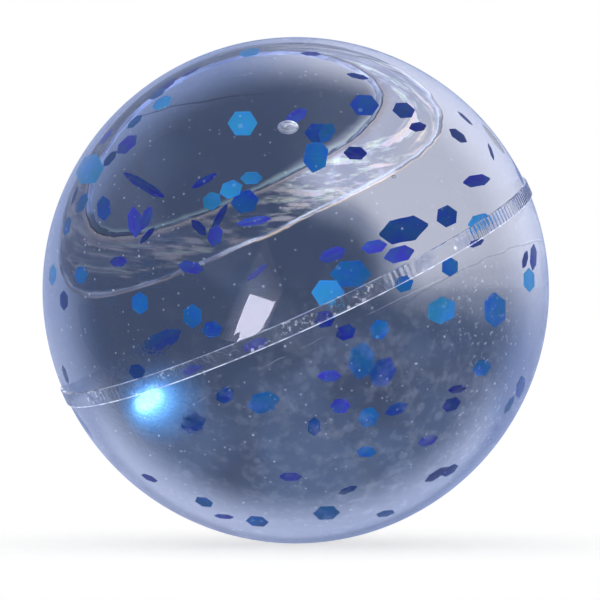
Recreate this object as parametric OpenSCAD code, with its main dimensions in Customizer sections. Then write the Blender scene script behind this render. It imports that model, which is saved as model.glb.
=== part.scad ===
// Clear solid rubber bouncy ball with blue hexagon glitter cast into it.
//
// The ball is two half mouldings fused at a flat joint, a flash band that runs
// round the joint in a rebate of both halves, and loose flakes of foil, each
// held in a pocket of its own shape in the rubber of one half.
//
// Origin at the centre of the ball, +Z up, +X to the right, +Y away from the
// viewer. The ball lies as it was seen, so its joint leans by joint_roll and
// joint_pitch. Lengths are in millimetres and angles in degrees.

/* [Ball] */
// Diameter over the clear rubber
ball_d = 45; // [40:0.5:60]
// Turn of the joint about the line of sight, which lifts its right end
joint_roll = 24.4; // [0:0.1:45]
// Turn of the joint that opens its upper side to the viewer
joint_pitch = 7; // [0:0.5:15]
// Refractive index of the clear rubber
rubber_n = 1.5; // [1.4:0.01:1.56]

/* [Flash band] */
// Width of the band along the axis of the halves
band_w = 1.4; // [0.9:0.1:2.2]
// Height that the band stands proud of the ball
band_h = 0.2; // [0.15:0.05:0.4]
// Depth that the band is seated in the halves
band_seat = 0.4; // [0.2:0.05:0.8]
// Chamfer along both outer edges of the band
band_chamfer = 0.08; // [0.04:0.01:0.14]

/* [Glitter] */
// Width of a flake across its corners
flake_w = 1.7; // [1.2:0.05:1.9]
// Thickness of a flake
flake_t = 0.1; // [0.05:0.01:0.2]
// Least rubber between a flake and the seat of the band
flake_cover = 0.2; // [0.1:0.05:0.6]
// Least rubber between a flake and the joint
joint_cover = 0.15; // [0.1:0.05:0.6]
// Number of flakes that lie behind what the front of the ball shows
rear_flakes = 36; // [0:1:40]

/* [Air bubbles] */
// Diameter of the largest trapped bubble
bubble_d = 1.4; // [0.8:0.1:1.6]

/* [Hidden] */
$fn = 96;

ball_r = ball_d / 2;
seat_r = ball_r - band_seat;
hexagon = 6;

// Sides of the joint
UPPER = 1;
LOWER = -1;

// Farthest that the middle of a flake lies from the centre of the ball
flake_reach = seat_r - flake_cover - flake_w / 2;
// Nearest that the middle of a flake lies to the joint
flake_rise = joint_cover + flake_w / 2;

// Flakes as the front of the ball shows them, one row each: across and up from
// the centre as shares of the radius, seen width as a share of the real width,
// seen height as a share of the seen width, and the lean of the width in
// degrees. A flake looks wider the deeper it lies.
sky_shares = [
    [-0.21, 0.66, 1.50, 0.90, 0], [-0.52, 0.73, 1.15, 0.80, 20],
    [-0.17, 0.43, 1.12, 0.60, 0], [-0.25, 0.39, 1.22, 0.75, 20],
    [-0.32, 0.34, 1.05, 0.90, 40], [-0.18, 0.93, 1.15, 0.80, 15],
    [-0.82, 0.48, 1.50, 0.80, 60], [-0.95, 0.06, 1.10, 0.90, 90],
    [0.71, 0.30, 1.40, 0.55, 15], [0.13, -0.01, 1.75, 0.85, 0],
    [0.58, -0.08, 1.60, 0.85, 30], [0.91, 0.04, 1.20, 0.85, 90]
];
azure_shares = [
    [-0.55, 0.78, 1.00, 0.70, 20], [-0.64, 0.67, 1.00, 0.60, 40],
    [-0.83, 0.34, 1.10, 0.70, 60], [-0.89, 0.25, 1.05, 0.70, 80],
    [-0.84, 0.06, 1.02, 0.90, 0], [-0.60, -0.05, 1.15, 0.85, 90],
    [-0.40, -0.10, 1.25, 0.85, 90], [0.12, 0.61, 1.20, 0.60, 60],
    [0.08, 0.54, 1.70, 0.75, 80], [0.23, 0.07, 2.20, 0.70, 0],
    [0.59, 0.09, 1.06, 0.90, 30], [0.40, 0.05, 1.05, 0.80, 15],
    [0.80, -0.08, 1.70, 0.60, 90], [-0.13, -0.45, 1.70, 0.65, 15],
    [-0.36, -0.83, 1.02, 0.85, 10], [-0.15, -0.90, 1.15, 0.85, 0],
    [0.32, -0.15, 1.12, 0.90, 50], [0.72, -0.30, 1.15, 0.80, 0],
    [0.28, -0.49, 1.18, 0.90, 70], [0.27, -0.62, 1.08, 0.60, -10],
    [0.27, -0.29, 2.00, 0.70, 80], [0.12, -0.87, 1.30, 0.75, 0],
    [0.35, -0.87, 1.08, 0.60, -15], [0.84, -0.45, 1.02, 0.70, 60]
];
cobalt_shares = [
    [-0.72, 0.51, 1.04, 0.60, 45], [-0.20, 0.35, 1.45, 0.85, 10],
    [-0.75, 0.32, 1.30, 0.60, 100], [-0.91, -0.04, 1.02, 0.80, 90],
    [-0.32, -0.15, 1.10, 0.80, 10], [0.09, 0.62, 1.45, 0.70, 0],
    [0.27, 0.73, 1.45, 0.80, 0], [0.42, 0.70, 1.22, 0.80, 10],
    [0.60, 0.26, 1.25, 0.90, 25], [0.46, 0.26, 2.40, 0.55, 10],
    [-0.56, -0.21, 2.10, 0.40, 30], [-0.61, -0.31, 1.04, 0.75, 10],
    [-0.27, -0.40, 1.06, 0.80, 30], [-0.40, -0.52, 1.35, 0.75, 20],
    [-0.90, -0.33, 1.06, 0.50, 100], [0.39, -0.46, 1.25, 0.50, 20],
    [0.07, -0.52, 1.04, 0.65, 90], [0.35, -0.33, 1.75, 0.70, 60],
    [0.20, -0.77, 1.05, 0.40, 25], [0.60, -0.70, 1.04, 0.80, 15],
    [0.88, -0.38, 1.25, 0.60, 100]
];
violet_shares = [
    [-0.64, 0.27, 1.55, 0.40, 95], [-0.58, 0.28, 1.25, 0.40, 70],
    [-0.68, 0.11, 1.06, 0.50, 0], [-0.41, 0.09, 1.35, 0.45, -10],
    [-0.31, 0.21, 1.15, 0.65, 80], [-0.17, 0.28, 1.80, 0.20, 10],
    [0.00, 0.68, 1.35, 0.45, 35], [0.06, 0.92, 1.05, 0.40, 0],
    [-0.66, 0.57, 1.30, 0.60, 40], [-0.74, 0.60, 1.10, 0.60, 50],
    [-0.15, 0.07, 1.30, 0.20, 40], [0.39, 0.19, 1.60, 0.50, 15],
    [0.15, 0.13, 1.50, 0.45, 20], [0.33, 0.12, 1.35, 0.50, 10],
    [0.68, 0.21, 1.06, 0.30, 20], [-0.57, -0.73, 1.04, 0.50, 0],
    [-0.28, -0.88, 1.08, 0.40, 10], [-0.02, -0.72, 1.15, 0.45, 0],
    [-0.41, -0.28, 1.20, 0.30, 20], [-0.16, -0.21, 1.30, 0.30, 20],
    [0.51, -0.58, 1.12, 0.55, 10], [0.13, -0.33, 1.22, 0.50, 0],
    [0.17, -0.44, 1.04, 0.80, 0]
];
navy_shares = [
    [-0.62, 0.43, 1.90, 0.20, -30], [-0.36, 0.43, 1.42, 0.20, 30],
    [-0.30, 0.29, 1.50, 0.20, 60], [-0.37, 0.24, 1.10, 0.40, -45],
    [-0.57, 0.21, 1.10, 0.25, 45], [-0.86, 0.37, 1.04, 0.30, 75],
    [-0.51, 0.80, 1.30, 0.30, 40], [-0.41, 0.85, 1.05, 0.30, 30],
    [0.63, 0.60, 1.12, 0.60, -30], [0.23, 0.53, 1.20, 0.60, 0],
    [0.24, 0.83, 1.12, 0.30, -10], [0.66, 0.67, 1.04, 0.30, -40],
    [0.76, 0.54, 1.06, 0.25, 90], [0.74, 0.38, 1.45, 0.40, 10],
    [0.47, 0.63, 1.06, 0.50, 20], [0.11, -0.11, 1.10, 0.80, 10],
    [0.89, 0.12, 1.06, 0.40, 60], [0.93, 0.13, 1.30, 0.40, 80],
    [0.19, -0.16, 1.06, 0.75, 20], [0.62, -0.38, 1.06, 0.40, 0],
    [0.60, -0.44, 1.10, 0.70, 10], [0.55, -0.72, 1.30, 0.40, 30]
];
// Bubbles, one row each: across, up, depth along the line of sight, and
// diameter, as shares of the radius, the radius, the chord and bubble_d
bubble_shares = [
    [-0.03, 0.63, 0.25, 1], [-0.44, -0.62, 0.12, 0.25], [0.46, -0.28, 0.10, 0.2],
    [-0.70, 0.00, 0.08, 0.2], [0.38, 0.44, 0.30, 0.25]
];

// Turn from one rear flake to the next, which never falls into rows
golden_turn = 180 * (3 - sqrt(5));
// The rear flakes lie outside all that the front shows, from the first share of
// the radius behind the centre to the last
rear_near_share = 0.16;
rear_far_share = 0.84;
// Tilt and lean of one rear flake after another
rear_tilt_step = 73;
rear_lean_step = 101;
most_tilt = 80;
half_turn = 180;

// A place or direction turned about the X axis, and about the Y axis
function turn_x(p, a) = [p.x, p.y * cos(a) - p.z * sin(a), p.y * sin(a) + p.z * cos(a)];
function turn_y(p, a) = [p.x * cos(a) + p.z * sin(a), p.y, p.z * cos(a) - p.x * sin(a)];

// Square out of the joint, towards the upper half
joint_up = turn_y(turn_x([0, 0, 1], joint_pitch), -joint_roll);

// Angle that a line of sight bends by where it enters the ball, h of the
// radius away from the middle
function sight_bend(h) = asin(h) - asin(h / rubber_n);

// Place at a share of the way through the ball along a bent line of sight
function sight_place(u, w, depth_share) =
    let (h = norm([u, w]), bend = sight_bend(h), pull = h > 0 ? sin(bend) / h : 0)
    let (entry = ball_r * [u, -sqrt(1 - h * h), w], way = [-u * pull, cos(bend), -w * pull])
    entry + depth_share * ball_d * sqrt(1 - pow(h / rubber_n, 2)) * way;

// How far through the ball a flake lies that looks this many times its width
function seen_depth_share(seen) = rubber_n / (2 * (rubber_n - 1)) * (1 - 1 / seen);

// A place moved just far enough off the joint, then just far enough inwards,
// to leave the flake's cover of rubber
function off_joint(p) =
    let (rise = p * joint_up, side = rise < 0 ? LOWER : UPPER)
    abs(rise) < flake_rise ? p + (side * flake_rise - rise) * joint_up : p;
function tucked(p) = norm(p) > flake_reach ? p * flake_reach / norm(p) : p;
function settled(p) = off_joint(tucked(off_joint(p)));

// A flake is its place, the turn that follows the bent line of sight, its tilt
// away from that line and its lean about it
function seen_flake(row) = let (u = row[0], w = row[1]) [
    settled(sight_place(u, w, seen_depth_share(row[2]))),
    sight_bend(norm([u, w])), [-w, 0, u], acos(row[3]), row[4]
];
// Farthest from the middle that the front shows anything, this far behind it
function shown_edge(back) = max([for (h = [0.1 : 0.05 : 1])
    ball_r * h - tan(sight_bend(h)) * (back + ball_r * sqrt(1 - h * h))]);
function rear_flake(i) =
    let (along_share = (i + 1 / 2) / rear_flakes)
    let (back = ball_r * (rear_near_share + (rear_far_share - rear_near_share) * along_share))
    let (rim = sqrt(pow(flake_reach, 2) - back * back), inner = min(rim, shown_edge(back) + flake_w))
    let (out = i % 3 == 0 ? rim : i % 3 == 1 ? (rim + inner) / 2 : inner)
    let (a = i * golden_turn)
    [
        settled([out * cos(a), back, out * sin(a)]),
        0, [0, 1, 0], (i * rear_tilt_step) % most_tilt, (i * rear_lean_step) % half_turn
    ];

function seen_flakes(rows) = [for (row = rows) seen_flake(row)];
// Every fifth rear flake has the same shade
function rear_flakes_from(first) = [for (i = [first : 5 : rear_flakes - 1]) rear_flake(i)];

sky_flakes = concat(seen_flakes(sky_shares), rear_flakes_from(0));
azure_flakes = concat(seen_flakes(azure_shares), rear_flakes_from(1));
cobalt_flakes = concat(seen_flakes(cobalt_shares), rear_flakes_from(2));
violet_flakes = concat(seen_flakes(violet_shares), rear_flakes_from(3));
navy_flakes = concat(seen_flakes(navy_shares), rear_flakes_from(4));
all_flakes = concat(sky_flakes, azure_flakes, cobalt_flakes, violet_flakes, navy_flakes);

// Turns a piece from its own axis to the way the ball lies
module as_it_lies() {
    rotate([joint_pitch, -joint_roll, 0]) children();
}

// The flakes of one list that lie in one half
module flakes_in(side, flakes) {
    for (f = flakes) if (side * (f[0] * joint_up) > 0)
        translate(f[0])
            rotate(a = f[1], v = f[2])
                rotate([0, -f[4], 0])
                    rotate([f[3] + 90, 0, 0])
                        cylinder(d = flake_w, h = flake_t, $fn = hexagon, center = true);
}

// The trapped bubbles that lie in one half
module bubbles_in(side) {
    for (row = bubble_shares) {
        place = sight_place(row[0], row[1], row[2]);
        if (side * (place * joint_up) > 0)
            translate(place) sphere(d = bubble_d * row[3]);
    }
}

// Half of the ball's section, from its pole to the rebate for the band
module half_section() {
    difference() {
        intersection() {
            circle(r = ball_r);
            square(ball_r);
        }
        translate([seat_r, 0]) square([band_seat, band_w / 2]);
    }
}

// One half moulding, with its pockets and bubbles
module half(side) {
    difference() {
        as_it_lies() mirror([0, 0, side == UPPER ? 0 : 1]) rotate_extrude() half_section();
        flakes_in(side, all_flakes);
        bubbles_in(side);
    }
}

module upper_half() {
    color([0.62, 0.67, 0.86, 0.35]) half(UPPER);
}

module lower_half() {
    color([0.56, 0.62, 0.82, 0.35]) half(LOWER);
}

// The band left where the mould closed, punched to a flat land
module flash_band() {
    top_r = ball_r + band_h;
    edge = band_w / 2;
    color([0.78, 0.82, 0.94, 0.5]) as_it_lies() rotate_extrude() polygon([
        [seat_r, -edge], [top_r - band_chamfer, -edge], [top_r, band_chamfer - edge],
        [top_r, edge - band_chamfer], [top_r - band_chamfer, edge], [seat_r, edge]
    ]);
}

module glitter_sky(side) {
    color([0.27, 0.58, 0.84]) flakes_in(side, sky_flakes);
}

module glitter_azure(side) {
    color([0.08, 0.40, 0.72]) flakes_in(side, azure_flakes);
}

module glitter_cobalt(side) {
    color([0.12, 0.28, 0.62]) flakes_in(side, cobalt_flakes);
}

module glitter_violet(side) {
    color([0.25, 0.27, 0.68]) flakes_in(side, violet_flakes);
}

module glitter_navy(side) {
    color([0.13, 0.17, 0.42]) flakes_in(side, navy_flakes);
}

upper_half();
lower_half();
flash_band();
glitter_sky(UPPER);  // upper_glitter_sky
glitter_azure(UPPER);  // upper_glitter_azure
glitter_cobalt(UPPER);  // upper_glitter_cobalt
glitter_violet(UPPER);  // upper_glitter_violet
glitter_navy(UPPER);  // upper_glitter_navy
glitter_sky(LOWER);  // lower_glitter_sky
glitter_azure(LOWER);  // lower_glitter_azure
glitter_cobalt(LOWER);  // lower_glitter_cobalt
glitter_violet(LOWER);  // lower_glitter_violet
glitter_navy(LOWER);  // lower_glitter_navy
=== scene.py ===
"""Looks of the clear glitter bouncy ball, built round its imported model.

The two half mouldings show as one clear body, because the light bends through
them as through one piece. The flash band is remade with its cross ribs, and the
glitter flakes keep their own solids and get a foil finish.
"""

from __future__ import annotations

import logging
import math
import random
from dataclasses import dataclass
from enum import Enum

import bpy
import numpy as np
from mathutils import Matrix, Vector, noise

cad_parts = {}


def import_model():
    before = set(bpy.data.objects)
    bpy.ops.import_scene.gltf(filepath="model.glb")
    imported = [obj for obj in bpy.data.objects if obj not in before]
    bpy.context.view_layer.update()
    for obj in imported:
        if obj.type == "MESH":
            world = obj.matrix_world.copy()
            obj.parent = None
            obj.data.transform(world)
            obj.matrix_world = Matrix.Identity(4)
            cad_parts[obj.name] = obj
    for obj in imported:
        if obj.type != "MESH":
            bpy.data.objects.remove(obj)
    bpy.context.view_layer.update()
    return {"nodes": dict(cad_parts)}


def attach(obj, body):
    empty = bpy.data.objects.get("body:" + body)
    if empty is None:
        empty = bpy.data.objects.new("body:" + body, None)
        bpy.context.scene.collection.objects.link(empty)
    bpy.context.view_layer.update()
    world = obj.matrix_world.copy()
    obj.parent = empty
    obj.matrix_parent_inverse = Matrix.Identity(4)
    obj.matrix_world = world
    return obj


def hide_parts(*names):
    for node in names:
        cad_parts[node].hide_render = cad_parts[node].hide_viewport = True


LOG = logging.getLogger("bouncy_ball")

MM = 0.001
BALL_RADIUS = 22.5 * MM
PHOTO_SIDE_PX = 600
BODY = "root"
HALVES = ("upper_half", "lower_half")
BAND = "flash_band"
Socket = bpy.types.NodeSocket
Triple = tuple[float, float, float]
NO_LIGHT = (0.0, 0.0, 0.0)
RIGHT, AWAY = Vector((1, 0, 0)), Vector((0, 1, 0))


@dataclass(frozen=True)
class Joint:
    """The joint of the two halves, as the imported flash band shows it.

    Fields:
        up: square out of the joint, towards the upper half.
        across: along the joint, towards the right as the viewer sees it.
        away: along the joint, away from the viewer.
        seat_r: radius of the band's seat.
        top_r: radius of the band's land.
        half_width: half of the band's width.
    """

    up: Vector
    across: Vector
    away: Vector
    seat_r: float
    top_r: float
    half_width: float

    @classmethod
    def from_band(cls, band: bpy.types.Object) -> Joint:
        """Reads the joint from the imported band.

        Args:
            band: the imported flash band.

        Returns:
            The joint, with its directions and the sizes of the band.
        """
        points = [v.co.copy() for v in band.data.vertices]
        cloud = np.array([tuple(point) for point in points])
        up = Vector(np.linalg.svd(cloud - cloud.mean(axis=0), full_matrices=False)[2][-1]).normalized()
        if up.z < 0:
            up.negate()
        across = Vector((0, 1, 0)).cross(up).normalized()
        flat = [(p - p.dot(up) * up).length for p in points]
        half_width = max(abs(p.dot(up)) for p in points)
        return cls(up, across, up.cross(across), min(flat), max(flat), half_width)

    def place(self, angle: float, radius: float, rise: float) -> Vector:
        """A place near the joint.

        Args:
            angle: turn round the joint in radians, from across towards away.
            radius: distance from the line through the poles.
            rise: height above the joint.

        Returns:
            The place in the frame.
        """
        flat = math.cos(angle) * self.across + math.sin(angle) * self.away
        return radius * flat + rise * self.up


def clear_selection() -> None:
    """Leaves object mode with nothing selected."""
    if bpy.context.object and bpy.context.object.mode != "OBJECT":
        bpy.ops.object.mode_set(mode="OBJECT")
    bpy.ops.object.select_all(action="DESELECT")


def settle(piece: bpy.types.Object, name: str, *nodes: str) -> bpy.types.Object:
    """Names a finished piece, puts its place into its mesh and hangs it on the body.

    Args:
        piece: the piece, finished.
        name: its name.
        nodes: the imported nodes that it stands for.

    Returns:
        The same piece.
    """
    clear_selection()
    piece.select_set(True)
    bpy.context.view_layer.objects.active = piece
    bpy.ops.object.transform_apply(location=True, rotation=True, scale=True)
    piece.name = piece.data.name = name
    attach(piece, BODY)
    if nodes:
        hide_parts(*nodes)
    LOG.info("%s: %d faces", name, len(piece.data.polygons))
    return piece


class Maker:
    """Adds and joins the nodes of one node tree."""

    def __init__(self, tree: bpy.types.NodeTree) -> None:
        """Takes the tree.

        Args:
            tree: the tree to work in.
        """
        self.nodes = tree.nodes
        self.links = tree.links

    def node(self, kind: str, **settings: object) -> bpy.types.Node:
        """Adds a node.

        Args:
            kind: the node's type, without ShaderNode.
            settings: attributes of the node.

        Returns:
            The node.
        """
        node = self.nodes.new("ShaderNode" + kind)
        for key, value in settings.items():
            setattr(node, key, value)
        return node

    def feed(self, socket: Socket, value: object) -> None:
        """Joins a socket to another one, or sets it to a plain value.

        Args:
            socket: the input to feed.
            value: a socket, a plain value, or none to leave it.
        """
        if isinstance(value, Socket):
            self.links.new(value, socket)
        elif value is not None:
            socket.default_value = value

    def math(self, operation: str, *values: object) -> Socket:
        """Adds a Math node on sockets or numbers and gives its output.

        Args:
            operation: what the node does.
            values: its sockets or numbers, in order.

        Returns:
            The result.
        """
        node = self.node("Math", operation=operation)
        for socket, value in zip(node.inputs, values):
            self.feed(socket, value)
        return node.outputs[0]

    def times(self, a: object, b: object) -> Socket:
        """Multiplies two values.

        Args:
            a: first value.
            b: second value.

        Returns:
            The product.
        """
        return self.math("MULTIPLY", a, b)

    def plus(self, a: object, b: object) -> Socket:
        """Adds two values.

        Args:
            a: first value.
            b: second value.

        Returns:
            The sum.
        """
        return self.math("ADD", a, b)

    def less(self, a: object, b: object) -> Socket:
        """Takes one value from another.

        Args:
            a: value to take from.
            b: value that is taken off.

        Returns:
            What is left.
        """
        return self.math("SUBTRACT", a, b)

    def most(self, a: object, b: object) -> Socket:
        """Gives the larger of two values.

        Args:
            a: first value.
            b: second value.

        Returns:
            The larger one.
        """
        return self.math("MAXIMUM", a, b)

    def dot(self, place: Socket, direction: Vector) -> Socket:
        """How far a place lies along a direction.

        Args:
            place: the place.
            direction: the direction.

        Returns:
            The distance along it.
        """
        node = self.node("VectorMath", operation="DOT_PRODUCT")
        self.feed(node.inputs[0], place)
        node.inputs[1].default_value = direction
        return node.outputs["Value"]

    def ramp(
        self, value: object, low: object, high: object, to_low: object = 0.0, to_high: object = 1.0
    ) -> Socket:
        """Turns low to high smoothly into to_low to to_high.

        Args:
            value: what is read.
            low: where the change starts.
            high: where it ends.
            to_low: result up to low.
            to_high: result from high on.

        Returns:
            The result.
        """
        node = self.node("MapRange", interpolation_type="SMOOTHSTEP")
        names = ("Value", "From Min", "From Max", "To Min", "To Max")
        for name, given in zip(names, (value, low, high, to_low, to_high)):
            self.feed(node.inputs[name], given)
        return node.outputs["Result"]

    def mix(self, factor: object, a: object, b: object, blend: str = "MIX") -> Socket:
        """Mixes two colours.

        Args:
            factor: share of the second colour.
            a: first colour.
            b: second colour.
            blend: how they are mixed.

        Returns:
            The mixed colour.
        """
        node = self.node("Mix", data_type="RGBA", blend_type=blend)
        for socket, value in ((node.inputs["Factor"], factor), (node.inputs[6], a), (node.inputs[7], b)):
            self.feed(socket, (*value, 1.0) if isinstance(value, tuple) and len(value) == 3 else value)
        return node.outputs[2]

    def noise(self, place: object, scale: object, detail: float = 2.0, rough: float = 0.5) -> Socket:
        """A cloud of values round one half.

        Args:
            place: the coordinates it reads.
            scale: how fine it is.
            detail: how many finer layers.
            rough: how strong the finer layers are.

        Returns:
            The value.
        """
        node = self.node("TexNoise")
        names = ("Vector", "Scale", "Detail", "Roughness")
        for name, given in zip(names, (place, scale, detail, rough)):
            self.feed(node.inputs[name], given)
        return node.outputs["Fac"]


class Pattern(Enum):
    """Shader groups that more than one finish uses."""

    SPECKS = "dust_specks"
    HAIRLINES = "hairline_scratches"
    CLOUDING = "clouding"

    def tree(self) -> bpy.types.NodeTree:
        """Gives the group, built at its first use.

        Returns:
            The node tree of the group, with its inputs and one mask.
        """
        if self.value in bpy.data.node_groups:
            return bpy.data.node_groups[self.value]
        tree = bpy.data.node_groups.new(self.value, "ShaderNodeTree")
        tree.interface.new_socket("Place", in_out="INPUT", socket_type="NodeSocketVector")
        for name in ("Scale", "Cover"):
            tree.interface.new_socket(name, in_out="INPUT", socket_type="NodeSocketFloat")
        tree.interface.new_socket("Mask", in_out="OUTPUT", socket_type="NodeSocketFloat")
        make = Maker(tree)
        given, result = tree.nodes.new("NodeGroupInput"), tree.nodes.new("NodeGroupOutput")
        build = {
            Pattern.SPECKS: self._specks,
            Pattern.HAIRLINES: self._hairlines,
            Pattern.CLOUDING: self._clouding,
        }
        make.feed(result.inputs["Mask"], build[self](make, given.outputs))
        return tree

    def _specks(self, make: Maker, given: bpy.types.NodeOutputs) -> Socket:
        """Small round specks, of which Cover says how large the largest are.

        Args:
            make: maker in the group's tree.
            given: the group's inputs.

        Returns:
            The mask.
        """
        cells = make.node("TexVoronoi")
        make.feed(cells.inputs["Vector"], given["Place"])
        make.feed(cells.inputs["Scale"], given["Scale"])
        parts = make.node("SeparateColor")
        make.feed(parts.inputs["Color"], cells.outputs["Color"])
        size = make.times(make.math("POWER", parts.outputs["Red"], 6.0), given["Cover"])
        return make.ramp(cells.outputs["Distance"], make.times(size, 0.5), size, 1.0, 0.0)

    def _hairlines(self, make: Maker, given: bpy.types.NodeOutputs) -> Socket:
        """Fine scratches in three directions, of which Cover says how many.

        Args:
            make: maker in the group's tree.
            given: the group's inputs.

        Returns:
            The mask.
        """
        mask = None
        for turn in ((0.3, 0.2, 0.5), (1.1, 0.9, 2.1), (2.3, 1.7, 0.4)):
            lay = make.node("Mapping")
            make.feed(lay.inputs["Vector"], given["Place"])
            lay.inputs["Rotation"].default_value = turn
            lay.inputs["Scale"].default_value = (0.06, 2.2, 0.5)
            bent = make.noise(lay.outputs["Vector"], given["Scale"], 1.5)
            line = make.math("ABSOLUTE", make.less(bent, 0.5))
            one = make.ramp(line, 0.0, 0.006, 1.0, 0.0)
            patch = make.noise(given["Place"], make.times(given["Scale"], 0.3), 1.0)
            kept = make.times(one, make.ramp(patch, make.less(0.75, given["Cover"]), 0.8))
            mask = kept if mask is None else make.most(mask, kept)
        return mask

    def _clouding(self, make: Maker, given: bpy.types.NodeOutputs) -> Socket:
        """Soft clouds, of which Cover says how much they fill.

        Args:
            make: maker in the group's tree.
            given: the group's inputs.

        Returns:
            The mask.
        """
        value = make.noise(given["Place"], given["Scale"], 3.0, 0.6)
        return make.ramp(value, make.less(0.6, given["Cover"]), make.less(0.8, given["Cover"]))


class Finish(Maker):
    """A material with one Principled shader, which each finish fills in."""

    def __init__(self, name: str) -> None:
        """Makes the empty material.

        Args:
            name: name of the material.
        """
        self.material = bpy.data.materials.new(name)
        self.material.use_nodes = True
        super().__init__(self.material.node_tree)
        self.shader = self.nodes["Principled BSDF"]
        self.output = self.nodes["Material Output"]
        self.place = self.node("TexCoord").outputs["Object"]

    def set(self, **values: object) -> None:
        """Feeds the shader's sockets, with _ for a space.

        Args:
            values: what each socket gets.
        """
        for key, value in values.items():
            self.feed(self.shader.inputs[key.replace("_", " ")], value)

    def pattern(self, kind: Pattern, scale: float, cover: float, place: Socket | None = None) -> Socket:
        """Places a group.

        Args:
            kind: which group.
            scale: how fine it is.
            cover: how much of it there is.
            place: the coordinates it reads, or none for the object's own.

        Returns:
            The mask of the group.
        """
        group = self.node("Group", node_tree=kind.tree())
        self.feed(group.inputs["Place"], place or self.place)
        group.inputs["Scale"].default_value = scale
        group.inputs["Cover"].default_value = cover
        return group.outputs["Mask"]

    def bump(self, height: Socket, distance: float, strength: float = 1.0) -> None:
        """Raises the surface by a height map.

        Args:
            height: the heights, from none to one.
            distance: how high one is.
            strength: share of the effect.
        """
        node = self.node("Bump")
        self.feed(node.inputs["Height"], height)
        node.inputs["Distance"].default_value = distance
        node.inputs["Strength"].default_value = strength
        self.feed(self.shader.inputs["Normal"], node.outputs["Normal"])


@dataclass(frozen=True)
class DarkLine:
    """A fine dark line on the ball, where a plane cuts its surface.

    Fields:
        side: square out of the plane.
        offset: distance of the plane from the middle, in radii.
        starts: where along the frame's right it starts and is full, in radii.
        ends: where it starts to fade and is gone, in radii.
        width: how far from the plane it is gone, in radii.
        strength: how dark it is, up to one.
    """

    side: Triple
    offset: float
    starts: tuple[float, float]
    ends: tuple[float, float]
    width: float
    strength: float


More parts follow.
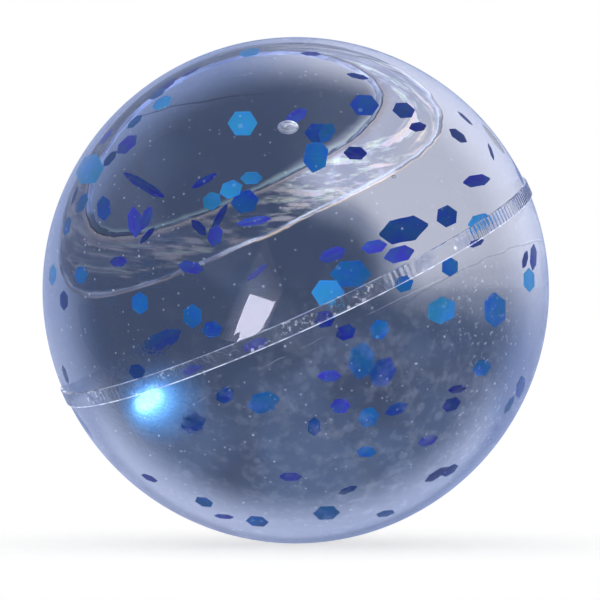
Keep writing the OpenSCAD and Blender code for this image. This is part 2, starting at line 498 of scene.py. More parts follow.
@dataclass(frozen=True)
class ClearRubber:
    """Clear rubber that bends light, with painted shade and painted light where light leaves it.

    The tones are painted where the light leaves the ball on its far side, and stand in
    for the surroundings seen through it: painted slate shade with soft clouds, a painted
    lavender rim light, a painted pale patch with painted pearly streaks, and painted light
    lines along the joint.
    """

    joint_up: Vector
    name: str = "clear_rubber"
    index: float = 1.5
    smear_roughness: float = 0.06
    scuff_roughness: float = 0.22
    scuff_height: float = 1.6
    dirt: Triple = (0.62, 0.66, 0.80)
    dark_line_mark: Triple = (0.25, 0.27, 0.33)
    patch_turn: tuple[float, float] = (0.430, 0.951)
    patch_off: tuple[float, float] = (0.085, 0.185)
    low_seam: float = -0.0292
    high_seam: float = 0.0315
    painted_deep_shade: Triple = (0.040, 0.057, 0.110)
    painted_hazy_shade: Triple = (0.092, 0.120, 0.210)
    painted_rim_light: Triple = (0.16, 0.22, 0.42)
    painted_low_rim_light: Triple = (0.39, 0.46, 0.69)
    painted_low_haze_light: Triple = (0.085, 0.130, 0.250)
    painted_patch_veil: Triple = (0.17, 0.20, 0.29)
    pale: Triple = (0.46, 0.48, 0.59)
    painted_pale_rim_light: Triple = (0.72, 0.75, 0.90)
    painted_edge_cream: Triple = (0.66, 0.55, 0.47)
    painted_edge_frost: Triple = (0.58, 0.63, 0.70)
    painted_wisp_pearl: Triple = (0.85, 0.88, 0.98)
    painted_line_fringe: Triple = (0.32, 0.47, 0.52)
    painted_line_ember: Triple = (0.42, 0.36, 0.37)
    painted_patch_towards: Triple = (0.719, 0.0, 0.695)
    smeared: Triple = (0.42, -0.76, -0.50)
    flecked: tuple[Triple, ...] = ((0.72, -0.68, -0.10), (0.747, -0.467, -0.473))
    scuffed: Triple = (-0.56, -0.70, -0.44)
    scratch_side: Triple = (0.448, -0.064, -0.892)
    scratch_offset: float = 0.265
    dark_lines: tuple[DarkLine, ...] = (
        DarkLine((-0.532, 0.141, 0.835), -0.382, (0.36, 0.44), (0.97, 1.10), 0.0034, 0.55),
        DarkLine((-0.0365, 0.2587, 0.9653), 0.565, (-0.64, -0.58), (-0.36, -0.02), 0.0056, 1.0),
    )

    def build(self) -> bpy.types.Material:
        """Makes the material.

        Returns:
            The material.
        """
        finish = Finish(self.name)
        finish.set(IOR=self.index, Transmission_Weight=1.0)
        finish.shader.inputs["Specular Tint"].default_value = (0.6, 0.65, 0.70, 1)
        way = finish.node("VectorMath", operation="NORMALIZE")
        finish.feed(way.inputs[0], finish.place)
        way = way.outputs[0]
        geometry, path = finish.node("NewGeometry"), finish.node("LightPath")
        inside = geometry.outputs["Backfacing"]
        straight = finish.math("LESS_THAN", path.outputs["Diffuse Depth"], 0.5)
        behind = finish.times(inside, straight)
        outside = finish.less(1.0, inside)
        far = self._painted_far_side(finish, way)
        # Painted shade and painted light: the far-side tones tint what shows straight through the ball.
        painted_exit_tone = finish.mix(behind, (1.0, 1.0, 1.0), far)
        # Fine dark lines darken the near side's colour along two planes.
        dark_line_mark = finish.times(self._dark_line_mask(finish, way), outside)
        finish.set(Base_Color=finish.mix(dark_line_mark, painted_exit_tone, self.dark_line_mark))
        dirt = self._dirt(finish, way)
        finish.set(Emission_Color=finish.mix(finish.times(dirt, outside), NO_LIGHT, self.dirt))
        finish.set(Emission_Strength=1.0)
        worn = finish.ramp(finish.dot(way, Vector(self.smeared).normalized()), 0.72, 0.97)
        smear = finish.times(finish.pattern(Pattern.CLOUDING, 380.0, 0.25), worn)
        smear = finish.ramp(smear, 0.30, 0.34, 0.0, self.smear_roughness)
        near_scuff = finish.dot(way, Vector(self.scuffed).normalized())
        scuff = finish.ramp(near_scuff, 0.958, 0.985, 0.0, self.scuff_roughness)
        grain = finish.ramp(finish.noise(finish.place, 1500.0, 3.0, 0.7), 0.38, 0.56)
        scuff = finish.times(grain, scuff)
        finish.set(Roughness=finish.most(smear, scuff))
        rubbed = finish.ramp(near_scuff, 0.945, 0.980, 0.0, self.scuff_height)
        rubbed = finish.times(finish.noise(finish.place, 3200.0, 2.0), rubbed)
        finish.bump(finish.plus(finish.noise(finish.place, 260.0, 2.0), rubbed), 0.00002, 0.3)
        return finish.material

    def _dark_line_mask(self, finish: Finish, way: Socket) -> Socket:
        """The fine dark lines on the near side.

        Args:
            finish: the finish.
            way: direction from the middle of the ball.

        Returns:
            The mask of the lines.
        """
        wave = finish.less(finish.noise(finish.place, 420.0, 4.0), 0.5)
        front = finish.ramp(finish.dot(way, Vector((0, -1, 0))), 0.1, 0.2)
        right = finish.dot(way, RIGHT)
        mask = None
        for line in self.dark_lines:
            off = finish.less(finish.dot(way, Vector(line.side)), line.offset)
            off = finish.math("ABSOLUTE", finish.math("MULTIPLY_ADD", wave, 0.03, off))
            one = finish.ramp(off, 0.3 * line.width, line.width, line.strength, 0.0)
            one = finish.times(one, front)
            one = finish.times(one, finish.ramp(right, *line.starts))
            one = finish.times(one, finish.ramp(right, *line.ends, 1.0, 0.0))
            mask = one if mask is None else finish.most(mask, one)
        return mask

    def _painted_far_side(self, finish: Finish, way: Socket) -> Socket:
        """The painted shade and painted light of the far side.

        Args:
            finish: the finish.
            way: direction from the middle of the ball.

        Returns:
            The painted tones.
        """
        # Painted shade: slate with soft clouds stands in for dark surroundings seen through the ball.
        cloud = finish.pattern(Pattern.CLOUDING, 150.0, 0.12)
        tone = finish.mix(cloud, self.painted_deep_shade, self.painted_hazy_shade)
        rise = finish.dot(way, self.joint_up)
        back = finish.dot(way, AWAY)
        pole = finish.ramp(back, 0.93, 0.975)
        # Painted light: a pale patch on one side of the far side.
        off = finish.math("SQRT", finish.less(1.0, finish.times(back, back)))
        towards = finish.dot(way, Vector(self.painted_patch_towards).normalized())
        turn = finish.math("DIVIDE", towards, finish.most(off, 0.02))
        jitter = finish.less(finish.noise(finish.place, 420.0, 3.0), 0.5)
        turned = finish.ramp(finish.math("MULTIPLY_ADD", jitter, 0.3, turn), *self.patch_turn)
        outer = finish.ramp(finish.math("MULTIPLY_ADD", jitter, 0.05, off), *self.patch_off)
        outer = finish.times(outer, finish.ramp(rise, 0.031, 0.046, 1.0, 0.12))
        elsewhere = finish.ramp(finish.noise(finish.place, 95.0, 1.0), 0.58, 0.68)
        patch = finish.mix(pole, elsewhere, finish.times(turned, outer))
        # Painted light: a paler haze low down on the far side.
        low = finish.ramp(finish.dot(way, Vector((0.3, 0, -1)).normalized()), 0.02, 0.15)
        low = finish.times(low, finish.ramp(finish.noise(finish.place, 190.0, 3.0, 0.6), 0.36, 0.64))
        tone = finish.mix(low, tone, self.painted_low_haze_light)
        pale = finish.mix(finish.ramp(patch, 0.35, 0.95), self.painted_patch_veil, self.pale)
        tone = finish.mix(finish.ramp(patch, 0.0, 0.45), tone, pale)
        facing = finish.node("LayerWeight")
        facing.inputs["Blend"].default_value = 0.5
        slant = facing.outputs["Facing"]
        strength = finish.ramp(finish.dot(way, RIGHT), -0.10, 0.08, 0.12, 0.5)
        strength = finish.most(strength, finish.ramp(patch, 0.0, 1.0, 0.0, 0.95))
        tone = self._painted_seam_light(finish, way, tone, strength, finish.ramp(slant, 0.09, 0.15, 1.0, 0.12))
        # Painted rim light: lavender towards the rim, paler low down and on the pale patch.
        below = finish.ramp(finish.dot(way, Vector((0, 0, -1))), 0.075, 0.13)
        painted_rim_light = finish.mix(below, self.painted_rim_light, self.painted_low_rim_light)
        painted_rim_light = finish.mix(turned, painted_rim_light, self.painted_pale_rim_light)
        tone = finish.mix(finish.ramp(slant, 0.145, 0.232), tone, painted_rim_light)
        return finish.mix(1.0, tone, tone, "MULTIPLY")

    def _painted_seam_light(
        self,
        finish: Finish,
        way: Socket,
        tone: Socket,
        strength: Socket,
        near: Socket,
    ) -> Socket:
        """Lays painted light along the joint over the far side: pearly wisps and pale edges.

        Args:
            finish: the finish.
            way: direction from the middle of the ball.
            tone: the tones so far.
            strength: how strong the wisps are.
            near: how much of the joint shows at this slant.

        Returns:
            The tones with the joint.
        """
        rise = finish.dot(way, self.joint_up)
        inside = finish.ramp(finish.math("ABSOLUTE", rise), 0.020, 0.031, 1.0, 0.0)
        lay = finish.node("Mapping")
        finish.feed(lay.inputs["Vector"], finish.place)
        upright = self.joint_up.rotation_difference(Vector((0, 0, 1)))
        lay.inputs["Rotation"].default_value = upright.to_euler()
        lay.inputs["Scale"].default_value = (0.5, 0.5, 2.2)
        # Painted light: pearly wisps along the joint, stronger on the right and on the pale patch.
        wisp = finish.ramp(finish.noise(lay.outputs["Vector"], 1900.0, 4.0, 0.65), 0.47, 0.64)
        hue = finish.node("HueSaturation")
        shift = finish.noise(lay.outputs["Vector"], 2300.0, 2.0)
        finish.feed(hue.inputs["Hue"], finish.ramp(shift, 0.35, 0.65, 0.1, 0.9))
        hue.inputs["Saturation"].default_value = 0.9
        hue.inputs["Color"].default_value = (*self.painted_wisp_pearl, 1)
        wisps = finish.times(finish.times(inside, wisp), strength)
        tone = finish.mix(wisps, tone, hue.outputs["Color"])
        # Painted light: cream and frost lines below the joint, ember to fringe above it.
        ragged = finish.times(finish.less(finish.noise(finish.place, 900.0, 4.0, 0.65), 0.5), 0.009)
        low = finish.math("ABSOLUTE", finish.plus(finish.less(rise, self.low_seam), ragged))
        high = finish.math("ABSOLUTE", finish.plus(finish.less(rise, self.high_seam), ragged))
        strong = finish.times(finish.ramp(finish.dot(way, RIGHT), -0.15, 0.04, 0.15, 0.95), near)
        low = finish.times(finish.ramp(low, 0.0010, 0.0044, 1.0, 0.0), strong)
        faint = finish.ramp(strong, 0.0, 1.0, 0.30, 0.55)
        high = finish.times(finish.ramp(high, 0.0022, 0.0085, 1.0, 0.0), faint)
        edge = finish.mix(finish.ramp(rise, -0.0310, -0.0275), self.painted_edge_cream, self.painted_edge_frost)
        tone = finish.mix(low, tone, edge)
        hue = finish.mix(finish.ramp(rise, 0.0290, 0.0345), self.painted_line_ember, self.painted_line_fringe)
        return finish.mix(high, tone, hue)

    def _dirt(self, finish: Finish, way: Socket) -> Socket:
        """Dust, hairlines, smears, flecks and the long scratch on the near side.

        Args:
            finish: the finish.
            way: direction from the middle of the ball.

        Returns:
            The mask.
        """
        specks = finish.times(finish.pattern(Pattern.SPECKS, 1100.0, 0.17), 0.4)
        dust = finish.times(finish.pattern(Pattern.SPECKS, 2300.0, 0.36), 0.22)
        lines = finish.times(finish.pattern(Pattern.HAIRLINES, 190.0, 0.16), 0.16)
        side = finish.ramp(finish.dot(way, Vector(self.smeared).normalized()), 0.74, 0.96)
        smears = finish.times(finish.pattern(Pattern.CLOUDING, 560.0, 0.10), finish.times(side, 0.06))
        low_side = finish.ramp(finish.dot(way, Vector((0.15, -0.72, -0.68))), 0.62, 0.94)
        mottle = finish.pattern(Pattern.CLOUDING, 850.0, 0.12)
        mottle = finish.times(mottle, finish.times(low_side, 0.055))
        spots = finish.times(finish.pattern(Pattern.SPECKS, 640.0, 0.55), finish.times(low_side, 0.07))
        smears = finish.plus(smears, finish.plus(mottle, spots))
        nicked = None
        for place in self.flecked:
            one = finish.ramp(finish.dot(way, Vector(place).normalized()), 0.965, 0.99)
            nicked = one if nicked is None else finish.most(nicked, one)
        flecks = finish.times(finish.pattern(Pattern.CLOUDING, 2100.0, 0.02), finish.times(nicked, 0.4))
        wave = finish.times(finish.less(finish.noise(finish.place, 160.0, 4.0), 0.5), 0.05)
        off = finish.plus(finish.dot(way, Vector(self.scratch_side)), wave)
        off = finish.less(off, self.scratch_offset)
        scratch = finish.ramp(finish.math("ABSOLUTE", off), 0.0008, 0.0028, 1.0, 0.0)
        breaks = finish.ramp(finish.noise(finish.place, 330.0, 2.0), 0.46, 0.58)
        reach = finish.ramp(finish.dot(way, RIGHT), -0.45, -0.3)
        scratch = finish.times(finish.times(scratch, breaks), finish.times(reach, 0.16))
        dots = finish.most(finish.most(specks, dust), finish.most(lines, flecks))
        return finish.plus(dots, finish.plus(smears, scratch))


@dataclass(frozen=True)
class BandRubber:
    """Clear rubber of the flash band, scuffed on its land and whitened along its edges, the whitening
    partly painted light that glows brighter on the far side.
    """

    joint: Joint
    name: str = "band_rubber"
    index: float = 1.5
    roughness: float = 0.04
    clear: Triple = (0.97, 0.98, 1.0)
    cloudy: Triple = (0.80, 0.84, 0.97)
    dirt: Triple = (0.7, 0.74, 0.88)

    def build(self) -> bpy.types.Material:
        """Makes the material.

        Returns:
            The material.
        """
        finish = Finish(self.name)
        finish.set(IOR=self.index, Transmission_Weight=1.0)
        finish.shader.inputs["Specular Tint"].default_value = (0.35, 0.37, 0.45, 1)
        tint = finish.mix(finish.pattern(Pattern.CLOUDING, 420.0, 0.15), self.clear, self.cloudy)
        finish.set(Base_Color=tint)
        specks = finish.times(finish.pattern(Pattern.SPECKS, 1100.0, 0.34), 0.5)
        lines = finish.times(finish.pattern(Pattern.HAIRLINES, 420.0, 0.22), 0.25)
        dirt = finish.most(finish.most(specks, lines), self._wear_and_painted_edge_light(finish))
        out = finish.node("VectorMath", operation="LENGTH")
        finish.feed(out.inputs[0], finish.place)
        top_r = self.joint.top_r
        proud = finish.ramp(out.outputs["Value"], top_r - 0.20 * MM, top_r - 0.17 * MM)
        # The glow carries dust, hairlines and wear, and painted light along the edges.
        finish.set(Emission_Color=finish.mix(finish.times(dirt, proud), NO_LIGHT, self.dirt))
        finish.set(Emission_Strength=1.0)
        cloud = finish.pattern(Pattern.CLOUDING, 700.0, 0.1)
        finish.set(Roughness=finish.ramp(cloud, 0.0, 1.0, self.roughness, 0.15))
        finish.bump(finish.noise(finish.place, 1200.0, 3.0), 0.00002, 0.6)
        return finish.material

    def _wear_and_painted_edge_light(self, finish: Finish) -> Socket:
        """White scuffs across the land and whitening along the edges, more on the lower one, partly
        painted light: the upper edge glows up to 3.2 times brighter on the far side.

        Args:
            finish: the finish.

        Returns:
            The mask.
        """
        share = finish.math("DIVIDE", finish.dot(finish.place, self.joint.up), self.joint.half_width)
        broken = finish.ramp(finish.noise(finish.place, 700.0, 3.0, 0.6), 0.42, 0.58)
        low = finish.ramp(share, -0.94, -0.80, 1.0, 0.0)
        low = finish.times(low, finish.ramp(broken, 0.0, 1.0, 0.45, 1.0))
        near, far = 0.3 * self.joint.top_r, 0.7 * self.joint.top_r
        # Painted light: the upper edge glows up to 3.2 times brighter on the far side of the ball.
        behind = finish.ramp(finish.dot(finish.place, AWAY), near, far, 1.0, 3.2)
        high = finish.times(finish.ramp(share, 0.86, 0.97), finish.ramp(broken, 0.0, 1.0, 0.08, 0.34))
        high = finish.times(high, behind)
        rub = finish.noise(finish.place, 2400.0, 3.0, 0.6)
        patches = finish.ramp(finish.noise(finish.place, 230.0, 1.0), 0.5, 0.62)
        land = finish.times(finish.ramp(rub, 0.52, 0.66), finish.times(patches, 0.45))
        return finish.most(land, finish.most(low, high))


@dataclass(frozen=True)
class AirBubble:
    """The skin of a trapped bubble, as the rubber shows it from outside, with a painted pale sheen that
    glows.
    """

    name: str = "air_bubble"

    def build(self) -> bpy.types.Material:
        """Makes the material.

        Returns:
            The material.
        """
        finish = Finish(self.name)
        finish.set(IOR=1 / 1.5, Transmission_Weight=1.0, Emission_Strength=1.0)
        # Painted sheen: the bubble's skin glows a pale grey.
        top = finish.ramp(finish.noise(finish.place, 900.0, 2.0), 0.35, 0.65, 0.08, 0.28)
        finish.set(Emission_Color=finish.mix(top, (0.0, 0.0, 0.0), (0.75, 0.78, 0.86)))
        finish.set(Roughness=finish.ramp(finish.noise(finish.place, 2000.0, 2.0), 0.3, 0.7, 0.08, 0.3))
        return finish.material


@dataclass(frozen=True)
class Foil:
    """Metallised film of one shade of glitter."""

    shade: str
    colour: Triple
    metallic: float = 0.0
    roughness: float = 0.45

    def build(self) -> bpy.types.Material:
        """Makes the material.

        Returns:
            The material.
        """
        finish = Finish(f"foil_{self.shade}")
        finish.set(Metallic=self.metallic)
        finish.shader.inputs["Specular IOR Level"].default_value = 0.08
        lot = finish.noise(finish.place, 210.0, 0.0)
        cloud = finish.noise(finish.place, 1100.0, 2.0)
        tone = finish.node("HueSaturation")
        tone.inputs["Color"].default_value = (*self.colour, 1)
        value = finish.ramp(lot, 0.3, 0.7, 0.8, 1.2)
        value = finish.plus(value, finish.ramp(cloud, 0.3, 0.7, -0.14, 0.14))
        finish.feed(tone.inputs["Value"], value)
        finish.feed(tone.inputs["Hue"], finish.ramp(cloud, 0.3, 0.7, 0.488, 0.512))
        worn = finish.pattern(Pattern.SPECKS, 1600.0, 0.35)
        scuffs = finish.pattern(Pattern.HAIRLINES, 700.0, 0.15)
        pale = finish.times(finish.most(worn, scuffs), 0.35)
        finish.set(Base_Color=finish.mix(pale, tone.outputs["Color"], (0.30, 0.55, 0.85)))
        finish.set(Roughness=finish.ramp(cloud, 0.3, 0.7, self.roughness - 0.1, self.roughness + 0.1))
        finish.bump(finish.noise(finish.place, 2600.0, 2.0), 0.00001, 0.5)
        return finish.material


FOILS = (
    Foil("sky", (0.020, 0.27, 0.68)),
    Foil("azure", (0.001, 0.125, 0.47)),
    Foil("cobalt", (0.001, 0.057, 0.34)),
    Foil("violet", (0.030, 0.060, 0.48)),
    Foil("navy", (0.001, 0.026, 0.30)),
)


@dataclass
class ClearBody:
    """The two fused halves as one clear piece."""

    joint: Joint
    radius: float
    splits: int = 7
    wave: float = 0.006 * MM

    def build(self) -> bpy.types.Object:
        """Makes the piece.

        Returns:
            The piece.
        """
        clear_selection()
        bpy.ops.mesh.primitive_ico_sphere_add(subdivisions=self.splits, radius=self.radius)
        piece = bpy.context.object
        for vertex in piece.data.vertices:
            out = vertex.co.normalized()
            vertex.co = out * (self.radius + self.wave * (noise.noise(out * 4) - 0.5))
        bpy.ops.object.shade_smooth()
        normals = [vertex.co.normalized() for vertex in piece.data.vertices]
        piece.data.normals_split_custom_set_from_vertices(normals)
        piece.data.materials.append(ClearRubber(self.joint.up).build())
        settle(piece, "clear_body", *HALVES)
        return piece


@dataclass
class Bubbles:
    """Air trapped in the rubber, each bubble on the line of sight that shows it.

    Fields:
        radius: radius of the ball.
        seen: for each bubble its place to the right and up and its depth, as
            shares of the radius, the radius and the way through, and its width.
        index: refractive index of the rubber.
        squash: how flat a bubble is against its width.
    """

    radius: float
    seen: tuple[tuple[float, float, float, float], ...] = (
        (-0.03, 0.63, 0.25, 1.55 * MM),
        (-0.44, -0.62, 0.12, 0.35 * MM),
        (0.46, -0.28, 0.10, 0.28 * MM),
        (-0.70, 0.00, 0.08, 0.28 * MM),
        (0.38, 0.44, 0.30, 0.35 * MM),
    )
    index: float = 1.5
    squash: float = 0.72

    def _sight_place(self, right: float, up: float, depth: float) -> Vector:
        """Where a bubble lies, on a line of sight that bends as it enters the ball.

        Args:
            right: where the line enters, to the right of the middle, in radii.
            up: where it enters, above the middle, in radii.
            depth: how far along its way through the ball the bubble lies.

        Returns:
            The place in the frame.
        """
        off = math.hypot(right, up)
        bend = math.asin(off) - math.asin(off / self.index)
        pull = math.sin(bend) / off if off > 0 else 0.0
        entry = self.radius * Vector((right, -math.sqrt(1 - off**2), up))
        way = Vector((-right * pull, math.cos(bend), -up * pull))
        through = 2 * self.radius * math.sqrt(1 - (off / self.index) ** 2)
        return entry + depth * through * way

    def build(self) -> bpy.types.Object:
        """Makes the piece.

        Returns:
            The piece.
        """
        made = []
        for right, up, depth, size in self.seen:
            clear_selection()
            middle = self._sight_place(right, up, depth)
            LOG.info("bubble at %s", [round(value / MM, 2) for value in middle])
            bpy.ops.mesh.primitive_uv_sphere_add(
                segments=32, ring_count=16, radius=size / 2, location=middle
            )
            piece = bpy.context.object
            piece.scale = (1.0, self.squash, self.squash)
            bpy.ops.object.shade_smooth()
            made.append(piece)
        clear_selection()
        for piece in made:
            piece.select_set(True)
        bpy.context.view_layer.objects.active = made[0]
        bpy.ops.object.transform_apply(location=True, rotation=True, scale=True)
        bpy.ops.object.join()
        piece = bpy.context.object
        piece.data.materials.clear()
        piece.data.materials.append(AirBubble().build())
        settle(piece, "trapped_bubbles")
        return piece


@dataclass
class FlashBand:
    """The band round the joint, with its fine cross ribs and its nicks."""

    joint: Joint
    radius: float
    ribs: int = 254
    steps_per_rib: int = 4
    rib_height: float = 0.035 * MM
    ribbed_from: float = -52.0
    ribbed_to: float = 12.0
    sunk: float = 0.05 * MM
    chamfer: float = 0.045 * MM
    land_parts: int = 8
    worn_patches: int = 40
    seed: int = 5

    def build(self) -> bpy.types.Object:
        """Makes the piece.

        Returns:
            The piece.
        """
        clear_selection()
        joint = self.joint
        half = joint.half_width
        top = joint.top_r - self.rib_height
        span = half - self.chamfer
        land = [span - 2 * span * i / self.land_parts for i in range(self.land_parts + 1)]
        inner = self.radius - self.sunk
        section = [(inner, -half), (inner, half), (top - self.chamfer, half)]
        section += [(top, rise) for rise in land] + [(top - self.chamfer, -half)]
        bpy.ops.mesh.primitive_circle_add(vertices=len(section), radius=self.radius)
        piece = bpy.context.object
        for vertex, (radius, rise) in zip(piece.data.vertices, section):
            vertex.co = joint.place(0, radius, rise)
        bpy.ops.object.mode_set(mode="EDIT")
        bpy.ops.mesh.select_all(action="SELECT")
        steps = self.ribs * self.steps_per_rib
        bpy.ops.mesh.spin(steps=steps, angle=2 * math.pi, center=(0, 0, 0), axis=joint.up)
        bpy.ops.mesh.select_all(action="SELECT")
        bpy.ops.mesh.remove_doubles(threshold=1e-7)
        bpy.ops.mesh.normals_make_consistent(inside=False)
        bpy.ops.object.mode_set(mode="OBJECT")
        self._raise_ribs(piece, top - self.chamfer / 2)
        bpy.ops.object.shade_smooth_by_angle(angle=math.radians(35))
        piece.data.materials.append(BandRubber(joint).build())
        settle(piece, BAND + "_ribbed", BAND)
        return piece

    def _rib_share(self, angle: float, patches: list[Triple]) -> float:
        """How high the ribs stand at an angle.

        Args:
            angle: turn round the joint in degrees.
            patches: middle, width and height of each short ribbed patch.

        Returns:
            The share of the full rib height.
        """
        middle = (self.ribbed_from + self.ribbed_to) / 2
        reach = (self.ribbed_to - self.ribbed_from) / 2
        turned = abs((angle - middle + 180) % 360 - 180)
        share = max(0.0, min(1.0, (reach - turned) / 8))
        for place, width, height in patches:
            turned = abs((angle - place + 180) % 360 - 180)
            share = max(share, height * max(0.0, min(1.0, 2 - 2 * turned / width)))
        return share

    def _raise_ribs(self, piece: bpy.types.Object, least_r: float) -> None:
        """Lifts the land of the band into ribs, higher where the mould was worn.

        Args:
            piece: the plain band.
            least_r: radius above which a point belongs to the land.
        """
        joint = self.joint
        draw = random.Random(self.seed)
        patches = [
            (draw.uniform(-180, 180), draw.uniform(1, 4), draw.uniform(0.15, 0.45))
            for _ in range(self.worn_patches)
        ]
        for vertex in piece.data.vertices:
            rise = vertex.co.dot(joint.up)
            flat = vertex.co - rise * joint.up
            if flat.length < least_r:
                continue
            angle = math.atan2(flat.dot(joint.away), flat.dot(joint.across))
            share = self._rib_share(math.degrees(angle), patches)
            wave = 0.5 + 0.5 * math.cos(angle * self.ribs)
            rough = 0.5 + 0.35 * noise.noise(vertex.co * 900)
            lift = self.rib_height * (wave * share + (1 - share) * rough)
            vertex.co += flat.normalized() * lift


@dataclass
class Glitter:
    """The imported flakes, which keep their solids and get their foil."""

    nodes: dict[str, bpy.types.Object]

    def dress(self) -> None:
        """Gives each group of flakes the foil of its shade."""
        for foil in FOILS:
            material = foil.build()
            for half in ("upper", "lower"):
                flakes = self.nodes[f"{half}_glitter_{foil.shade}"]
                flakes.data.materials.clear()
                flakes.data.materials.append(material)
                LOG.info("%s dressed", flakes.name)


@dataclass
class Studio:
    """The floor, the light and the camera."""

    radius: float
    camera_distance: float = 0.5
    photo_centre_px: tuple[float, float] = (295.75, 290.26)
    photo_radius_px: float = 253.3
    floor_half: float = 2.0
    floor_front: float = 0.06
    mirrored: Triple = (0.42, 0.50, 0.78)
    world_light: float = 0.9
    window_size: tuple[float, float] = (0.197, 0.0405)
    foot_size: tuple[float, float] = (0.156, 0.0248)
    window_level: float = 21.0
    window_colour: Triple = (1.0, 0.89, 1.0)
    window_glows: int = 5
    window_glow_level: float = 0.5
    glow_steps: int = 12
    glow_widths: tuple[float, float] = (0.027, 0.096)
    glow_slimness: tuple[float, float] = (0.32, 0.55)
    glow_levels: tuple[float, float] = (4.5, 0.20)
    glow_colours: tuple[Triple, ...] = ((0.65, 1.0, 1.0), (0.02, 0.52, 0.86))

    def build(self) -> None:
        """Makes the whole studio."""
        self._floor()
        self._world()
        self._window()
        self._rear_lamps()
        self._camera()

    def _floor(self) -> None:
        """Lays the pale floor that the ball lies on."""
        clear_selection()
        middle = (0, self.floor_half - self.floor_front, -self.radius)
        bpy.ops.mesh.primitive_plane_add(size=2 * self.floor_half, location=middle)
        floor = bpy.context.object
        floor.name = "floor"
        finish = Finish("pale_floor")
        finish.shader.inputs["Specular IOR Level"].default_value = 0.0
        grain = finish.noise(finish.place, 60.0, 3.0)
        path = finish.node("LightPath")
        pale = finish.mix(grain, (0.79, 0.79, 0.79), (0.82, 0.82, 0.82))
        mirrored = tuple(value / self.world_light for value in self.mirrored)
        only = finish.less(path.outputs["Is Glossy Ray"], path.outputs["Is Transmission Ray"])
        finish.set(Base_Color=finish.mix(finish.most(only, 0.0), pale, mirrored), Roughness=1.0)
        seen = finish.most(path.outputs["Is Camera Ray"], path.outputs["Is Transmission Ray"])
        finish.set(Emission_Color=(1, 1, 1, 1), Emission_Strength=finish.times(seen, 0.32))
        floor.data.materials.append(finish.material)

    def _world(self) -> None:
        """Surrounds the ball with a plain white that lights it softly."""
        world = bpy.data.worlds.new("studio")
        bpy.context.scene.world = world
        world.use_nodes = True
        nodes, links = world.node_tree.nodes, world.node_tree.links
        nodes.clear()
        path = nodes.new("ShaderNodeLightPath")
        seen = nodes.new("ShaderNodeMath")
        seen.operation = "MAXIMUM"
        links.new(path.outputs["Is Camera Ray"], seen.inputs[0])
        links.new(path.outputs["Is Transmission Ray"], seen.inputs[1])
        light, shown, mirrored = (nodes.new("ShaderNodeBackground") for _ in range(3))
        for background, colour, strength in (
            (light, (1.0, 1.0, 1.0), self.world_light),
            (shown, (1.0, 1.0, 1.0), 1.0),
            (mirrored, self.mirrored, 1.0),
        ):
            background.inputs["Color"].default_value = (*colour, 1)
            background.inputs["Strength"].default_value = strength
        first, second = nodes.new("ShaderNodeMixShader"), nodes.new("ShaderNodeMixShader")
        output = nodes.new("ShaderNodeOutputWorld")
        links.new(path.outputs["Is Glossy Ray"], first.inputs[0])
        links.new(light.outputs[0], first.inputs[1])
        links.new(mirrored.outputs[0], first.inputs[2])
        links.new(seen.outputs[0], second.inputs[0])
        links.new(first.outputs[0], second.inputs[1])
        links.new(shown.outputs[0], second.inputs[2])
        links.new(second.outputs[0], output.inputs["Surface"])

    def _lamp(
        self,
        name: str,
        middle: Vector,
        right: Vector,
        up: Vector,
        size: tuple[float, float],
        glow: float,
    ) -> bpy.types.Object:
        """Hangs a small flat lamp that the camera itself doesn't see.

        Args:
            name: name of the lamp.
            middle: middle of its face.
            right: direction of its width.
            up: direction of its height.
            size: its width and height.
            glow: brightness of its face.

        Returns:
            The lamp.
        """
        clear_selection()
        bpy.ops.object.light_add(type="AREA", location=middle)
        lamp = bpy.context.object
        lamp.name = name
        lamp.data.shape = "RECTANGLE"
        lamp.data.size, lamp.data.size_y = size
        lamp.data.energy = glow * math.pi * size[0] * size[1]
        lamp.rotation_mode = "QUATERNION"
        out = right.cross(up)
        lamp.rotation_quaternion = Matrix((right, up, out)).transposed().to_quaternion()
        lamp.visible_camera = False
        lamp.visible_diffuse = False
        return lamp

    def _window(self) -> None:
        """Hangs the long lamp that shows as a bright patch on the front of the ball."""
        right, up = Vector((-0.043, -0.991, -0.125)), Vector((0.396, -0.132, 0.909))
        middle = Vector((-0.052, -0.213, -0.034))
        right, up = right.normalized(), up.normalized()
        lamps = [self._lamp("window", middle, right, up, self.window_size, self.window_level)]
        foot = middle - 0.003 * right - 0.0327 * up
        lamps.append(self._lamp("window_foot", foot, right, up, self.foot_size, self.window_level))
        for step in range(1, self.window_glows + 1):
            size = (0.19 + 0.014 * step, 0.055 + 0.016 * step)
            behind = middle - 0.005 * right - 0.010 * up - 0.001 * step * right.cross(up)
            glow = self.window_glow_level
            lamps.append(self._lamp(f"window_glow_{step}", behind, right, up, size, glow))
        for lamp in lamps:
            lamp.data.color = self.window_colour
            lamp.visible_transmission = False

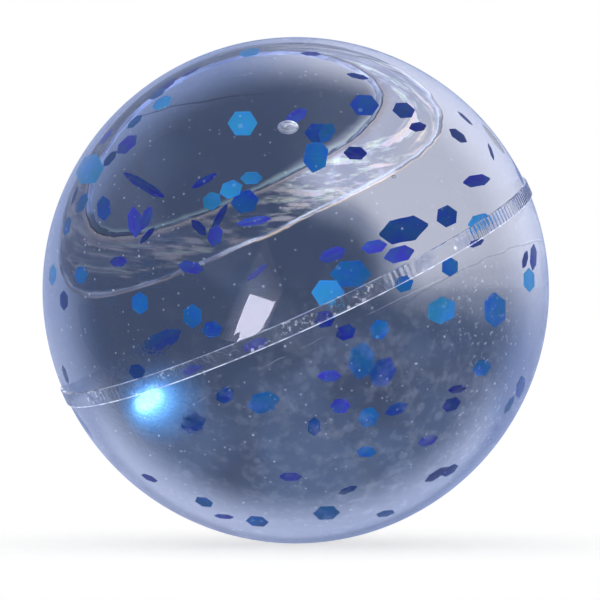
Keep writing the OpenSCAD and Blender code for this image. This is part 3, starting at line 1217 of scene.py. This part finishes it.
    def _rear_lamps(self) -> None:
        """Hangs round lamps behind the ball, which the rubber shows as a glow low on the left."""
        way = Vector((0.390, 0.875, 0.288)).normalized()
        right = Vector((0, 1, 0)).cross(way).normalized()
        for step in range(self.glow_steps):
            share = step / (self.glow_steps - 1)
            width = self.glow_widths[0] * (self.glow_widths[1] / self.glow_widths[0]) ** share
            glow = self.glow_levels[0] * (self.glow_levels[1] / self.glow_levels[0]) ** share
            middle = way * (0.2 + 0.002 * step) - 0.006 * share * right
            slim = self.glow_slimness[0] + (self.glow_slimness[1] - self.glow_slimness[0]) * share
            size = (slim * width, width)
            lamp = self._lamp(f"rear_lamp_{step}", middle, right, way.cross(right), size, glow)
            lamp.data.shape = "ELLIPSE"
            lamp.data.color = [a + (b - a) * share for a, b in zip(*self.glow_colours)]
            lamp.visible_glossy = False

    def _camera(self) -> None:
        """Sets the camera so that the ball fills the photograph's circle."""
        clear_selection()
        bpy.ops.object.camera_add(location=(0, -self.camera_distance, 0), rotation=(math.pi / 2, 0, 0))
        camera = bpy.context.object
        camera.name = "photo_camera"
        reach = math.sqrt(self.camera_distance**2 - self.radius**2)
        focal_px = self.photo_radius_px * reach / self.radius
        camera.data.lens = focal_px / PHOTO_SIDE_PX * camera.data.sensor_width
        middle = PHOTO_SIDE_PX / 2
        camera.data.shift_x = (middle - self.photo_centre_px[0]) / PHOTO_SIDE_PX
        camera.data.shift_y = (self.photo_centre_px[1] - middle) / PHOTO_SIDE_PX
        camera.data.clip_start, camera.data.clip_end = 0.01, 20
        bpy.context.scene.camera = camera


def main() -> None:
    """Loads the frame and builds every piece in order."""
    logging.basicConfig(level=logging.INFO, format="%(name)s %(message)s")
    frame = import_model()
    radius = BALL_RADIUS
    joint = Joint.from_band(frame["nodes"][BAND])
    bpy.context.scene.view_settings.view_transform = "Standard"
    sizes = (joint.up, joint.seat_r, joint.top_r, joint.half_width)
    LOG.info("joint up %s seat %.5f top %.5f half %.5f", *sizes)
    ClearBody(joint, radius).build()
    Bubbles(radius).build()
    FlashBand(joint, radius).build()
    Glitter(frame["nodes"]).dress()
    Studio(radius).build()


if __name__ == "__main__":
    main()
